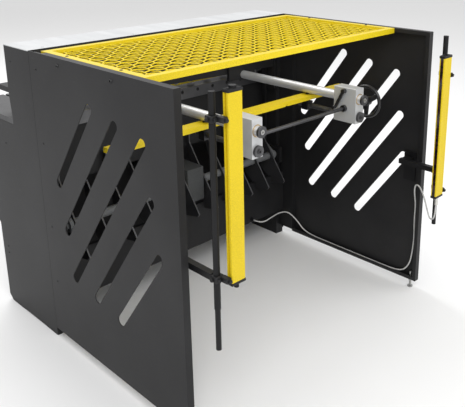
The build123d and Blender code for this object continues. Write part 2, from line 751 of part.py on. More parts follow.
bearing_width = 18.0
with BuildPart() as rocker_bearings:
    for _, side in sides:
        block(side * (leg_inner - bearing_width), side * leg_inner, rocker_y - 38, rocker_y + 42,
              rocker_height - 38, rocker_height + 38)
        rod_x_axis(side * (leg_inner - bearing_width - 1), side * (leg_inner + 1), rocker_y,
                   rocker_height, rocker_radius + running_gap, mode=Mode.SUBTRACT)
save(rocker_bearings, "rocker_bearings")

with BuildPart() as rocker_shaft:
    rod_x_axis(-leg_inner + 1, leg_inner - 1, rocker_y, rocker_height, rocker_radius)
save(rocker_shaft, "rocker_shaft")

pin_radius = 7.0
pin_clearance = 2.3
pin_y = rocker_y + lever_reach_y
pin_z = rocker_height + lever_reach_z
lever_slope = math.degrees(math.atan2(lever_reach_z, lever_reach_y))
with BuildPart() as rocker_levers:
    for _, side in sides:
        with BuildSketch(side_plane(side * lever_x - lever_width / 2)):
            reach = math.hypot(lever_reach_y, lever_reach_z) + 4
            middle_y = at(rocker_y) + reach / 2 * math.cos(math.radians(lever_slope))
            middle_z = rocker_height + reach / 2 * math.sin(math.radians(lever_slope))
            with Locations((middle_y, middle_z)):
                SlotCenterToCenter(reach, 58, rotation=lever_slope)
            with Locations((at(rocker_y), rocker_height)):
                Circle(rocker_radius, mode=Mode.SUBTRACT)
            slot_reach = (lever_reach_y + math.hypot(lever_reach_y, lever_reach_z)) / 2
            slot_y = at(rocker_y) + slot_reach * math.cos(math.radians(lever_slope))
            slot_z = rocker_height + slot_reach * math.sin(math.radians(lever_slope))
            with Locations((slot_y, slot_z)):
                SlotOverall(36, 2 * (pin_radius + pin_clearance), rotation=lever_slope,
                            mode=Mode.SUBTRACT)
        extrude(amount=lever_width)
save(rocker_levers, "rocker_levers")

with BuildPart() as ram_rods:
    for _, side in sides:
        block(side * (rod_x - rod_width / 2), side * (rod_x + rod_width / 2), nose_rear,
              nose_rear + 20, pin_z - 14, table_height + 176)
        rod_x_axis(side * (lever_x - lever_width / 2 - 4), side * (rod_x - rod_width / 2),
                   pin_y, pin_z, pin_radius)
save(ram_rods, "ram_rods")

motor_x = 52.0
motor_half = 44.0
motor_height = rocker_height + 10.0
gearbox_bottom = rocker_height - 80.0
gearbox_top = rocker_height + 70.0
motor_radius = 70.0
with BuildPart() as gear_motor:
    block(motor_x - motor_half, motor_x + motor_half, rocker_y - 30, rocker_y + 115,
          gearbox_bottom, gearbox_top)
    rod_x_axis(motor_x - motor_half - 1, motor_x + motor_half + 1, rocker_y, rocker_height,
               rocker_radius + running_gap, mode=Mode.SUBTRACT)
    rod_y_axis(motor_x, rocker_y + 115, rocker_y + 330, motor_height, motor_radius)
    block(motor_x - 30, motor_x + 30, rocker_y + 140, rocker_y + 260,
          motor_height + motor_radius - 12, beam_bottom)
save(gear_motor, "gear_motor")

# ---- levelling feet under the guard's rear corners --------------------------------------------
with BuildPart() as levelling_feet:
    for _, side in sides:
        rod_z_axis(side * foot_x, foot_y, 0, 5, 11)
        rod_z_axis(side * foot_x, foot_y, 5, 72, foot_bolt_radius)
        for z in (guard_clearance - 8, guard_clearance + sheet):
            with BuildSketch(Plane.XY.offset(z)) as nut_outline:
                with Locations((side * foot_x, at(foot_y))):
                    RegularPolygon(8.6, 6)
            extrude(nut_outline.sketch, amount=8)
save(levelling_feet, "levelling_feet")

# ---- light curtain: posts, arms, clamps and the two units ----------------------------------
post_step = curtain_right_bottom - 8.0
with BuildPart() as curtain_posts:
    for _, side in sides:
        rod_z_axis(side * post_x, post_y, post_step, post_top, post_radius)
        rod_z_axis(side * post_x, post_y, post_bottom, post_step, post_foot_radius)
save(curtain_posts, "curtain_posts")

clamp_half = 15.0
clamp_tall = 20.0
lower_clamp_rise = arm_height - curtain_left_bottom
upper_clamp_drop = 78.0
curtain_face = curtain_x + curtain_width / 2
curtain_bottoms = {"left": curtain_left_bottom, "right": curtain_right_bottom}
with BuildPart() as post_clamps:
    for name, side in sides:
        bottom = curtain_bottoms[name]
        for z in (bottom + lower_clamp_rise, bottom + curtain_length - upper_clamp_drop):
            block(side * (post_x - clamp_half), side * (post_x + clamp_half), post_y - clamp_half,
                  post_y + clamp_half, z - clamp_tall / 2, z + clamp_tall / 2)
            block(side * curtain_face, side * (post_x - clamp_half), curtain_y - 10,
                  post_y + clamp_half, z - clamp_tall / 2, z + clamp_tall / 2)
            block(side * (post_x - clamp_half), side * (post_x - 2), curtain_y - 10,
                  post_y - clamp_half, z - clamp_tall / 2, z + clamp_tall / 2)
            rod_z_axis(side * post_x, post_y, z - clamp_tall, z + clamp_tall, post_radius,
                       mode=Mode.SUBTRACT)
            rod_x_axis(side * (post_x + clamp_half), side * (post_x + clamp_half + 9),
                       post_y, z, 9)
save(post_clamps, "post_clamps")

bracket_y = 50.0
with BuildPart() as curtain_arms:
    for name, side in sides:
        block(side * (post_x - arm_size / 2), side * (post_x + arm_size / 2),
              post_y + clamp_half, arm_rear, arm_height - arm_size / 2, arm_height + arm_size / 2)
        block(side * (post_x + arm_size / 2), side * (half - sheet - 5), bracket_y,
              arm_rear, arm_height - 8, arm_height + 8)
        block(side * (half - sheet - 5), side * (half - sheet), bracket_y - 10, arm_rear + 10,
              arm_height - 95, arm_height + 30)
        if name == "right":
            block(side * (post_x - clamp_half), side * (post_x + clamp_half),
                  post_y - clamp_half, post_y + clamp_half, arm_height - clamp_tall / 2,
                  arm_height + clamp_tall / 2)
            rod_z_axis(side * post_x, post_y, arm_height - clamp_tall, arm_height + clamp_tall,
                       post_radius, mode=Mode.SUBTRACT)
save(curtain_arms, "curtain_arms")

window_width = 12.0
window_depth = 2.0
groove_width = 7.0
groove_depth = 5.0
for name, side in sides:
    bottom = curtain_bottoms[name]
    low = bottom + curtain_cap
    high = bottom + curtain_length - curtain_cap
    inner = curtain_x - curtain_width / 2
    rear_face = curtain_y - curtain_thickness / 2
    with BuildPart() as light_curtain:
        block(side * inner, side * curtain_face, rear_face, rear_face + curtain_thickness,
              low, high)
        chamfer(light_curtain.edges().filter_by(Axis.Z), 2)
        block(side * (inner - 1), side * (inner + window_depth), curtain_y - window_width / 2,
              curtain_y + window_width / 2, low - 1, high + 1, mode=Mode.SUBTRACT)
        block(side * (curtain_face - groove_depth), side * (curtain_face + 1),
              curtain_y - groove_width / 2, curtain_y + groove_width / 2, low - 1, high + 1,
              mode=Mode.SUBTRACT)
    save(light_curtain, f"light_curtain_{name}")

with BuildPart() as curtain_windows:
    for name, side in sides:
        bottom = curtain_bottoms[name]
        block(side * inner, side * (inner + window_depth), curtain_y - window_width / 2,
              curtain_y + window_width / 2, bottom + curtain_cap,
              bottom + curtain_length - curtain_cap)
save(curtain_windows, "curtain_windows")

with BuildPart() as curtain_caps:
    for name, side in sides:
        bottom = curtain_bottoms[name]
        top = bottom + curtain_length
        for z0, z1 in ((bottom, bottom + curtain_cap), (top - curtain_cap, top)):
            block(side * (inner - 1), side * (curtain_face + 1), rear_face - 1,
                  rear_face + curtain_thickness + 1, z0, z1)
    chamfer(curtain_caps.edges().filter_by(Axis.Z), 2)
    rod_z_axis(-curtain_x, curtain_y, curtain_left_bottom + curtain_length,
               curtain_left_bottom + curtain_length + 8, 8)
    rod_z_axis(-curtain_x, curtain_y, curtain_left_bottom - 14, curtain_left_bottom, 7)
save(curtain_caps, "curtain_caps")

# ---- cable from the back panel to the right-hand unit --------------------------------------
gland_length = 16.0
connector_length = 33.0
connector_top = curtain_right_bottom
connector_bottom = connector_top - connector_length
with BuildPart() as cable_gland:
    rod_y_axis(387, back_panel_y - gland_length, back_panel_y, 150, 9)
save(cable_gland, "cable_gland")

with BuildPart() as cable_connector:
    rod_z_axis(curtain_x, curtain_y, connector_bottom, connector_top - 10, 7)
    rod_z_axis(curtain_x, curtain_y, connector_top - 10, connector_top, 9)
save(cable_connector, "cable_connector")

cable_route = (
    (387, 752, 150),
    (387, 724, 150),
    (417, 710, 146),
    (470, 718, 149),
    (535, 726, 150),
    (587, 720, 140),
    (604, 678, 104),
    (611, 637, 60),
    (612, 575, 49),
    (609, 500, 51),
    (612, 420, 48),
    (609, 340, 50),
    (612, 260, 48),
    (609, 180, 50),
    (611, 108, 50),
    (609, 62, 66),
    (611, 36, 108),
    (608, 25, 168),
    (611, 22, 238),
    (608, 25, 310),
    (609, 23, 383),
    (600, 28, 440),
    (584, 14, 482),
    (572, -14, 482),
    (566, -40, 444),
    (558, -62, 397),
    (549, -79, 370),
    (534, -104, 380),
    (526, -116, 415),
    (526, -116, 449),
)


def corner_radii(points, share=0.45):
    radii = []
    for before, here, after in zip(points, points[1:], points[2:]):
        a = Vector(*here) - Vector(*before)
        b = Vector(*after) - Vector(*here)
        turn = math.radians(a.get_angle(b))
        radii.append(share * min(a.length, b.length) / math.tan(turn / 2))
    return radii


cable_points = [(x, at(y), z) for x, y, z in cable_route]
cable_radii = corner_radii(cable_points)
first_run = Vector(*cable_points[1]) - Vector(*cable_points[0])
with BuildPart() as sensor_cable:
    with BuildLine() as cable_line:
        FilletPolyline(*cable_points, radius=cable_radii)
    with BuildSketch(Plane(origin=cable_points[0], z_dir=first_run)):
        Circle(cable_radius)
    sweep(path=cable_line.line)
save(sensor_cable, "sensor_cable")
cable_length = cable_line.wires()[0].length
cable_section = math.pi * cable_radius ** 2
print("cable length", round(cable_length, 1))
print("cable corner radii", [round(r, 1) for r in cable_radii])
print("cable volume against section x length",
      round(sensor_cable.part.volume / (cable_section * cable_length), 4))
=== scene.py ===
from math import pi, radians

import bmesh
import bpy
from mathutils import Euler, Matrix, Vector


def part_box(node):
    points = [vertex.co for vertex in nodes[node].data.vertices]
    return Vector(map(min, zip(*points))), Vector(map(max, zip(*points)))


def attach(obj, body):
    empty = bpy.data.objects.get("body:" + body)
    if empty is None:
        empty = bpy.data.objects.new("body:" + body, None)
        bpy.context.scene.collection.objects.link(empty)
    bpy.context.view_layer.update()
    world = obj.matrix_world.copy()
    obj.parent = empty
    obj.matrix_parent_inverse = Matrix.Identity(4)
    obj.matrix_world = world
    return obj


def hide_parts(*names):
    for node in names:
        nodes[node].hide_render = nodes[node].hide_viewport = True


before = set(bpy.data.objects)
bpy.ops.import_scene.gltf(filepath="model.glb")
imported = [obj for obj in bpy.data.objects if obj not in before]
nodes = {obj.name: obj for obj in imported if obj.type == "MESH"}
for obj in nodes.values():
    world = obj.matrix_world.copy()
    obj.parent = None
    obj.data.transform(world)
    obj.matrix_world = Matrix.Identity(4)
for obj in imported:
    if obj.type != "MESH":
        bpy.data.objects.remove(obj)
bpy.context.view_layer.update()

# ---- Viewpoint ------------------------------------------------------------------------------
# A tripod stands behind the left rear corner of the shear, a little above its roof, and looks
# down through the open guard towards the handwheel side.
rear_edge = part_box("side_panel_left")[0].y
camera_data = bpy.data.cameras.new("tripod_camera")
camera_data.sensor_width = 36
camera_data.lens = 52.2
camera_data.shift_x = -0.072
camera_data.shift_y = -0.188
camera_data.clip_end = 50
camera = bpy.data.objects.new("tripod_camera", camera_data)
camera.location = (-1.648, rear_edge - 1.346, 1.511)
tilt_down, roll, heading = radians(16.2), radians(0.38), radians(-45.4)
camera.rotation_euler = Euler((pi / 2 - tilt_down, roll, heading), "XYZ")
bpy.context.collection.objects.link(camera)
bpy.context.scene.camera = camera

# ---- Sensor cable ---------------------------------------------------------------------------
# A thin light-grey jacketed cable leaves a gland on the back panel, lies in the right panel's
# bottom flange, climbs inside its rear edge and hangs over it to the right curtain's plug. The
# round section is one metre in radius, and each point's own radius brings it down to size.
cable_radius = 0.003
cable_route = (
    (387, 752, 150), (387, 724, 150), (417, 710, 146), (470, 718, 149), (535, 726, 150),
    (587, 720, 140), (604, 678, 104), (611, 637, 60), (612, 575, 49), (609, 500, 51),
    (612, 420, 48), (609, 340, 50), (612, 260, 48), (609, 180, 50), (611, 108, 50),
    (609, 62, 66), (611, 36, 108), (608, 25, 168), (611, 22, 238), (608, 25, 310),
    (609, 23, 383), (600, 28, 440), (584, 14, 482), (572, -14, 482), (566, -40, 444),
    (558, -62, 397), (549, -79, 370), (534, -104, 380), (526, -116, 415), (526, -116, 449),
)
cable_curve = bpy.data.curves.new("sensor_cable_run", "CURVE")
cable_curve.dimensions = "3D"
cable_curve.bevel_depth = 1
cable_curve.bevel_resolution = 5
cable_curve.resolution_u = 10
cable_curve.use_fill_caps = True
cable_line = cable_curve.splines.new("NURBS")
cable_line.points.add(len(cable_route) - 1)
for point, (x, y, z) in zip(cable_line.points, cable_route):
    point.co = (x / 1000, rear_edge + y / 1000, z / 1000, 1)
    point.radius = cable_radius
cable_line.order_u = 3
cable_line.use_endpoint_u = True
sensor_cable = bpy.data.objects.new("sensor_cable_run", cable_curve)
bpy.context.collection.objects.link(sensor_cable)
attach(sensor_cable, "machine")
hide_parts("sensor_cable")
x, y, z = cable_route[0]


class Wire:
    """An output of a shader node. Arithmetic on it adds Math nodes to its material."""

    def __init__(self, tree, socket):
        self.tree = tree
        self.socket = socket

    def node(self, kind, settings=None, sockets=None, output=0):
        made = self.tree.nodes.new(kind)
        for name, value in (settings or {}).items():
            setattr(made, name, value)
        for name, value in (sockets or {}).items():
            if isinstance(value, Wire):
                self.tree.links.new(value.socket, made.inputs[name])
            else:
                made.inputs[name].default_value = value
        return Wire(self.tree, made.outputs[output])

    def maths(self, operation, first, second):
        return self.node("ShaderNodeMath", {"operation": operation}, {0: first, 1: second})

    def __add__(self, other):
        return self.maths("ADD", self, other)

    __radd__ = __add__

    def __rsub__(self, other):
        return self.maths("SUBTRACT", other, self)

    def __mul__(self, other):
        return self.maths("MULTIPLY", self, other)

    def noise(self, scale, detail=3.0, roughness=0.55):
        return self.node("ShaderNodeTexNoise", None,
                         {"Vector": self, "Scale": scale, "Detail": detail, "Roughness": roughness})

    def ramp(self, low, high):
        """Nought below low, one above high, and a straight climb between."""
        return self.node("ShaderNodeMapRange", None,
                         {"Value": self, "From Min": low, "From Max": high})

    def stretched(self, x, y, z):
        return self.node("ShaderNodeMapping", None, {"Vector": self, "Scale": (x, y, z)})

    def blend(self, plain, marked):
        """Colour from plain to marked, by this mask."""
        mixed = self.tree.nodes.new("ShaderNodeMix")
        mixed.data_type = "RGBA"
        self.tree.links.new(self.socket, mixed.inputs[0])
        for socket, value in ((mixed.inputs[6], plain), (mixed.inputs[7], marked)):
            if isinstance(value, Wire):
                self.tree.links.new(value.socket, socket)
            else:
                socket.default_value = (*value, 1)
        return Wire(self.tree, mixed.outputs[2])


def new_finish(name):
    """A fresh material: its object coordinates, and a function that fills its shader."""
    material = bpy.data.materials.new(name)
    material.use_nodes = True
    tree = material.node_tree
    shader = tree.nodes["Principled BSDF"]
    coordinates = tree.nodes.new("ShaderNodeTexCoord")
    place = Wire(tree, coordinates.outputs["Object"])

    def fill(bump=None, height=0.0005, **sockets):
        if bump is not None:
            sockets["Normal"] = place.node(
                "ShaderNodeBump", None, {"Height": bump, "Distance": height, "Strength": 1.0})
        for socket, value in sockets.items():
            socket = socket.replace("_", " ")
            if isinstance(value, Wire):
                tree.links.new(value.socket, shader.inputs[socket])
            else:
                shader.inputs[socket].default_value = value
        return material

    return place, fill


def cable_jacket():
    place, fill = new_finish("cable_jacket")
    scuffs = place.noise(140).ramp(0.52, 0.72)
    return fill(bump=place.noise(900), height=0.0001,
                Base_Color=scuffs.blend((0.56, 0.56, 0.55), (0.38, 0.37, 0.35)),
                Roughness=0.42 + scuffs * 0.25, Specular_IOR_Level=0.4)


sensor_cable.data.materials.append(cable_jacket())


def finish_nodes(material, *names):
    """Puts one finish on carried-over frame parts."""
    for name in names:
        nodes[name].data.materials.clear()
        nodes[name].data.materials.append(material)


# ---- Cable gland and plug ------------------------------------------------------------------
# The gland is a black moulded nut on the back panel. The plug is a knurled nickel-plated M12
# coupling screwed up into the curtain's black foot.


def moulded_plastic(name, colour, roughness=0.5, grain=1400, coat=0.0):
    place, fill = new_finish(name)
    dust = place.noise(35, 5).ramp(0.5, 0.8)
    paler = tuple(c * 1.5 + 0.012 for c in colour)
    return fill(bump=place.noise(grain, 2), height=0.00012,
                Base_Color=dust.blend(colour, paler), Roughness=roughness + dust * 0.15,
                Coat_Weight=coat, Specular_IOR_Level=0.3)


black_moulding = moulded_plastic("black_moulding", (0.009, 0.009, 0.010))
finish_nodes(black_moulding, "cable_gland")


def deselect_all():
    bpy.ops.object.select_all(action="DESELECT")


def name_piece(name, body, material, replaced=()):
    """Names the object just modelled, settles its place into its mesh and hands it to a body."""
    piece = bpy.context.object
    piece.name = name
    piece.data.name = name
    bpy.ops.object.transform_apply(location=True, rotation=True, scale=True)
    piece.data.materials.clear()
    piece.data.materials.append(material)
    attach(piece, body)
    if replaced:
        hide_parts(*replaced)
    return piece


def join_last(pieces):
    """Joins like parts that are made one by one into one piece."""
    deselect_all()
    for piece in pieces:
        piece.select_set(True)
    bpy.context.view_layer.objects.active = pieces[-1]
    bpy.ops.object.join()
    return bpy.context.object


def select_faces(piece, chosen):
    """Goes into edit mode with only the faces selected that pass the test."""
    deselect_all()
    piece.select_set(True)
    bpy.context.view_layer.objects.active = piece
    bpy.ops.object.mode_set(mode="EDIT")
    bpy.ops.mesh.select_mode(type="FACE")
    bpy.ops.mesh.select_all(action="DESELECT")
    mesh = bmesh.from_edit_mesh(piece.data)
    for face in mesh.faces:
        face.select = chosen(face)
    mesh.select_flush(True)
    bmesh.update_edit_mesh(piece.data)


def bevel_edges(piece, width, segments=2):
    """Rounds the sharp edges of the active piece and smooths its shading."""
    bevel = piece.modifiers.new("edge_round", "BEVEL")
    bevel.width = width
    bevel.segments = segments
    bevel.limit_method = "ANGLE"
    bevel.angle_limit = radians(40)
    bpy.context.view_layer.objects.active = piece
    bpy.ops.object.modifier_apply(modifier=bevel.name)
    deselect_all()
    piece.select_set(True)
    bpy.context.view_layer.objects.active = piece
    bpy.ops.object.shade_smooth_by_angle(angle=radians(35))


def turned_part(centre, radius, length, axis, sides=48):
    """Round bar from the lathe, in place, with its axis along X, Y or Z."""
    turn = {"X": (0, pi / 2, 0), "Y": (pi / 2, 0, 0), "Z": (0, 0, 0)}[axis]
    deselect_all()
    bpy.ops.mesh.primitive_cylinder_add(vertices=sides, radius=radius, depth=length,
                                        location=centre, rotation=turn)
    bpy.ops.object.transform_apply(location=True, rotation=True, scale=True)
    return bpy.context.object


def flute(piece, chosen, thickness, depth):
    """Insets every chosen face by itself and moves it out by depth."""
    select_faces(piece, chosen)
    bpy.ops.mesh.inset(thickness=thickness, use_individual=True)
    bpy.ops.mesh.extrude_faces_move(TRANSFORM_OT_shrink_fatten={"value": depth})
    bpy.ops.object.mode_set(mode="OBJECT")


def bright_metal(name, colour, roughness, brush=(1, 1, 1), depth=0.00006, stain=0.35,
                 metallic=1.0, sheen=0.5):
    """Bare or plated metal with fine tool marks drawn out along one axis."""
    place, fill = new_finish(name)
    marks = place.stretched(*brush).noise(260, 4)
    smears = place.noise(9, 4).ramp(0.42, 0.75)
    darker = tuple(c * (1 - stain) for c in colour)
    return fill(bump=marks, height=depth,
                Base_Color=(smears * 0.7 + marks * 0.3).blend(colour, darker),
                Roughness=roughness + smears * 0.12 + marks * 0.06, Metallic=metallic,
                Specular_IOR_Level=sheen)


plug_nickel = bright_metal("plug_nickel", (0.72, 0.71, 0.67), 0.22, (1, 1, 6))
plug_low, plug_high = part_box("cable_connector")
plug_centre = (plug_low + plug_high) / 2
plug_radius = 0.007
plug_nut_radius = 0.009
plug_nut_height = 0.01
plug = turned_part((plug_centre.x, plug_centre.y, (plug_low.z + plug_high.z - plug_nut_height) / 2),
                   plug_radius, plug_high.z - plug_low.z - plug_nut_height, "Z", 40)
flute(plug, lambda face: abs(face.normal.z) < 0.5, 0.0005, -0.0004)
plug_nut = turned_part((plug_centre.x, plug_centre.y, plug_high.z - plug_nut_height / 2),
                       plug_nut_radius, plug_nut_height, "Z", 6)
bevel_edges(plug_nut, 0.0008)
join_last([plug_nut, plug])
name_piece("cable_plug", "machine", plug_nickel, ["cable_connector"])

# ---- Guard side panels and side covers -----------------------------------------------------
# Folded 3 mm steel sheet with five slanting slots, coated in fine-textured anthracite powder.
# The machine's own side covers are the same sheet, screwed on flush in front of the panels, and
# so are the front and back panels.


def powder_coat(name, colour, roughness, texture, height, dust):
    """Baked powder paint: pimpled by its texture, dusty in patches, and rubbed here and there."""
    place, fill = new_finish(name)
    pimples = place.noise(texture, 2, 0.6)
    clouds = place.noise(3.2, 5).ramp(0.38, 0.72)
    rubs = place.stretched(3, 3, 14).noise(7, 6, 0.7).ramp(0.6, 0.78)
    speck = place.noise(420, 1).ramp(0.42, 0.62)
    paler = tuple(c + dust * 0.16 * (0.6 - c) for c in colour)
    darker = tuple(c * 0.8 for c in colour)
    base = speck.blend(darker, colour)
    return fill(bump=pimples, height=height,
                Base_Color=(clouds * 0.55 + rubs * 0.35).blend(base, paler),
                Roughness=roughness + pimples * 0.1 + rubs * -0.1, Specular_IOR_Level=0.25)


anthracite = powder_coat("anthracite_powder", (0.013, 0.0128, 0.0138), 0.44, 620, 0.00012, 0.13)
finish_nodes(anthracite, "side_panel_left", "side_panel_right", "side_cover_left",
             "side_cover_right", "front_panel", "back_panel")

# ---- Machine frame behind the covers --------------------------------------------------------
# Flame-cut and welded steel plate under satin black machine paint: side frames with the legs,
# ram guides, beams, hold-down and the chute's ribs.
frame_black = powder_coat("frame_black_paint", (0.012, 0.012, 0.013), 0.46, 240, 0.0001, 0.08)
finish_nodes(frame_black, "side_frame_left", "side_frame_right", "ram_guide_left",
             "ram_guide_right", "head_beam", "table_beam", "hold_down_beam", "bar_mounts",
             "rocker_bearings", "roof_brackets", "ram_beam")


def looks_rearward(place):
    """How straight a face looks back along -Y, from -1 to 1."""
    geometry = place.tree.nodes.new("ShaderNodeNewGeometry")
    normal = Wire(place.tree, geometry.outputs["Normal"])
    return place.node("ShaderNodeSeparateXYZ", None, {"Vector": normal}, 1) * -1


def sheared_ribs():
    """Black paint. The side that looks back along -Y is painted lighter grey in patches as a
    painted sheen.
    """
    place, fill = new_finish("chute_rib_paint")
    # Painted sheen: faces looking back along -Y are coloured lighter grey, in patches set by noise.
    rearward_side = looks_rearward(place).ramp(0.3, 0.6)
    sheen_patches = place.noise(60, 5).ramp(0.3, 0.7)
    painted_sheen = rearward_side * (0.55 + sheen_patches * 0.45)
    return fill(bump=place.noise(300), height=0.0001,
                Base_Color=painted_sheen.blend((0.02, 0.02, 0.022), (0.10, 0.10, 0.105)),
                Roughness=0.48 - rearward_side * 0.1, Metallic=rearward_side * 0.4)


finish_nodes(sheared_ribs(), "chute_ribs")

# ---- Cover screws ---------------------------------------------------------------------------
# Black button-head socket screws hold the covers and roof; the heads are domed over a hexagon
# socket. A row of them sits along the top cover.
black_oxide = bright_metal("black_oxide_screw", (0.010, 0.010, 0.011), 0.28, stain=0.3,
                           metallic=0.2)
half_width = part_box("side_panel_right")[1].x
roof_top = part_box("roof_frame")[1].z


def button_head(radius, height):
    """Domed head standing on Z = 0 with a sunken hexagon socket."""
    deselect_all()
    bpy.ops.mesh.primitive_cylinder_add(vertices=24, radius=radius, depth=height,
                                        location=(0, 0, height / 2))
    head = bpy.context.object
    select_faces(head, lambda face: face.normal.z > 0.9)
    bpy.ops.transform.resize(value=(0.72, 0.72, 1))
    bpy.ops.mesh.inset(thickness=radius * 0.24)
    bpy.ops.mesh.extrude_region_shrink_fatten(TRANSFORM_OT_shrink_fatten={"value": -height * 0.6})
    bpy.ops.object.mode_set(mode="OBJECT")
    bpy.ops.object.shade_smooth_by_angle(angle=radians(35))
    return head


def place_copy(piece, where, turn=(0, 0, 0)):
    copy = piece.copy()
    copy.data = piece.data.copy()
    bpy.context.collection.objects.link(copy)
    copy.location = where
    copy.rotation_euler = turn
    return copy


panel_column = 742
panel_rows = (251, 468, 779, 1040)
cover_places = ((1045, 713), (1137, 253), (1137, 224), (930, 1040), (1290, 760), (1290, 520))
roof_rows = (291, 596)
roof_screw_x = 0.587
side_screw_drop = 0.026
lid_screw_columns = (-0.56, -0.19, 0.19, 0.56)
lid_screw_y = 0.808
lid_drop = 0.0015
small_head = button_head(0.0052, 0.0022)
large_head = button_head(0.0080, 0.0050)
roof_head = button_head(0.0062, 0.0032)
heads = []
for side in (-1, 1):
    outward = (0, side * pi / 2, 0)
    for y, z in [(panel_column, z) for z in panel_rows] + list(cover_places):
        spot = (side * half_width, rear_edge + y / 1000, z / 1000)
        heads.append(place_copy(small_head, spot, outward))
    for y in roof_rows:
        spot = (side * half_width, rear_edge + y / 1000, roof_top - side_screw_drop)
        heads.append(place_copy(large_head, spot, outward))
        heads.append(place_copy(roof_head, (side * roof_screw_x, rear_edge + y / 1000, roof_top)))
for x in lid_screw_columns:
    heads.append(place_copy(roof_head, (x, rear_edge + lid_screw_y, roof_top - lid_drop)))
for pattern in (small_head, large_head, roof_head):
    bpy.data.objects.remove(pattern)
join_last(heads)
name_piece("cover_button_heads", "machine", black_oxide, ["cover_screws"])

# ---- Roof: frame and woven wire ---------------------------------------------------------------
# A yellow frame of square tube holds a sheet of crimped wire cloth: round wires that pass over
# and under each other at every crossing, painted together with the frame.
safety_yellow = powder_coat("safety_yellow_paint", (0.80, 0.61, 0.012), 0.36, 160, 0.00001, 0.0)
finish_nodes(safety_yellow, "roof_frame", "finger_guard")

wire_pitch = 0.037
wire_radius = 0.0023
mesh_low, mesh_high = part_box("roof_mesh")
cloth_middle = (mesh_low.z + mesh_high.z) / 2
wire_cloth = bpy.data.curves.new("woven_wire", "CURVE")
wire_cloth.dimensions = "3D"
wire_cloth.bevel_depth = wire_radius
wire_cloth.bevel_resolution = 2
wire_cloth.resolution_u = 3
columns = round((mesh_high.x - mesh_low.x) / wire_pitch)
rows = round((mesh_high.y - mesh_low.y) / wire_pitch)


def crossing(column, row, over):
    """Control point of a wire where it crosses another, above it or below."""
    share_x = min(max(column / columns, 0), 1)
    share_y = min(max(row / rows, 0), 1)
    return (mesh_low.x + share_x * (mesh_high.x - mesh_low.x),
            mesh_low.y + share_y * (mesh_high.y - mesh_low.y),
            cloth_middle + (2 if over else -2) * wire_radius, 1)


def add_wire(crossings):
    """One crimped wire through its crossings."""
    wire = wire_cloth.splines.new("NURBS")
    wire.points.add(len(crossings) - 1)
    for point, position in zip(wire.points, crossings):
        point.co = position
    wire.order_u = 3
    wire.use_endpoint_u = True


for row in range(rows):
    add_wire([crossing(column + 0.5, row + 0.5, (int(column + 0.5) + row) % 2 == 0)
              for column in (-0.5, *range(columns), columns)])
for column in range(columns):
    add_wire([crossing(column + 0.5, row + 0.5, (int(row + 0.5) + column) % 2 == 1)
              for row in (-0.5, *range(rows), rows)])
roof_wires = bpy.data.objects.new("woven_wire", wire_cloth)
bpy.context.collection.objects.link(roof_wires)
deselect_all()
roof_wires.select_set(True)
bpy.context.view_layer.objects.active = roof_wires
bpy.ops.object.convert(target="MESH")
bpy.ops.object.shade_smooth()
name_piece("woven_wire_roof", "machine", safety_yellow, ["roof_mesh"])

# ---- Top cover and front cover --------------------------------------------------------------
# The top cover is a light grey sheet-metal lid, with the faint long streaks of its brushed primer
# under satin paint. Its fold that faces the roof is painted near black, a painted shade of the gap
# between lid and roof frame. The front cover is black.


def streaked_lid():
    place, fill = new_finish("light_grey_lid")
    # Painted shade: the fold that looks back along -Y is coloured near black for the shaded gap to
    # the roof.
    painted_gap_shade = looks_rearward(place).ramp(0.6, 0.8)
    streaks = place.stretched(9, 1.2, 1).noise(2.2, 3, 0.5).ramp(0.35, 0.7)
    prints = place.noise(5, 6, 0.7).ramp(0.62, 0.85)
    paint = (streaks * 0.5 + prints * 0.2).blend((0.60, 0.61, 0.62), (0.42, 0.43, 0.44))
    return fill(bump=place.noise(300, 2), height=0.00003,
                Base_Color=painted_gap_shade.blend(paint, (0.012, 0.012, 0.013)),
                Roughness=0.34 + prints * 0.1 + painted_gap_shade * 0.3, Specular_IOR_Level=0.4)


finish_nodes(streaked_lid(), "top_cover")
finish_nodes(frame_black, "front_cover")

# ---- Blades, table and hold-down pads -------------------------------------------------------
# The table plate and blades are ground tool steel, oiled, with grinding marks across them. Their
# cap screws and the hold-down's rubber-tipped pads are blackened.
ground_steel = bright_metal("ground_steel", (0.055, 0.055, 0.058), 0.34, (14, 0.6, 1), stain=0.4,
                            metallic=0.6)
finish_nodes(ground_steel, "table_plate", "upper_blade")
blade_dark = bright_metal("oiled_blade", (0.15, 0.15, 0.155), 0.34, (1, 10, 10), stain=0.4)
finish_nodes(blade_dark, "lower_blade")
finish_nodes(black_oxide, "lower_blade_screws", "upper_blade_screws", "hold_down_pads",
             "gauge_bolts", "ram_rods")

# ---- Guide bars, discs and bushes -----------------------------------------------------------
# Hard-chromed ground bars run back from the ram; bronze bushes slide on them, and a blackened
# disc with a zinc-plated socket screw caps each end.
bar_chrome = bright_metal("bar_chrome", (0.72, 0.73, 0.75), 0.34, (1, 0.15, 1), 0.00002, 0.12,
                          0.55)
finish_nodes(bar_chrome, "guide_bars")
bush_bronze = bright_metal("bush_bronze", (0.52, 0.36, 0.16), 0.35, (1, 8, 1))
finish_nodes(bush_bronze, "guide_bushes")
zinc = bright_metal("zinc_plate", (0.46, 0.46, 0.45), 0.34, (1, 1, 5))
finish_nodes(zinc, "bar_end_screws")
turned_black = bright_metal("turned_black_disc", (0.10, 0.10, 0.105), 0.30, (1, 1, 1), stain=0.25)
finish_nodes(turned_black, "bar_end_discs", "gears_and_collars", "cross_shaft")

# ---- Carriage blocks ------------------------------------------------------------------------
# Sawn and milled aluminium plate, brushed along its height, with small chamfers and no coating.
block_aluminium = bright_metal("milled_aluminium", (0.62, 0.63, 0.64), 0.40, (22, 22, 1), 0.00005,
                              0.2, 0.45)
finish_nodes(block_aluminium, "end_block_left", "end_block_right")

# ---- Lead screws ----------------------------------------------------------------------------
# Blackened trapezoidal screws; the thread's crests are painted lighter in close rings, a painted
# highlight, with lighter grease patches. A wave texture of scale 1 has 20 radians to the metre.
thread_pitch = 0.005


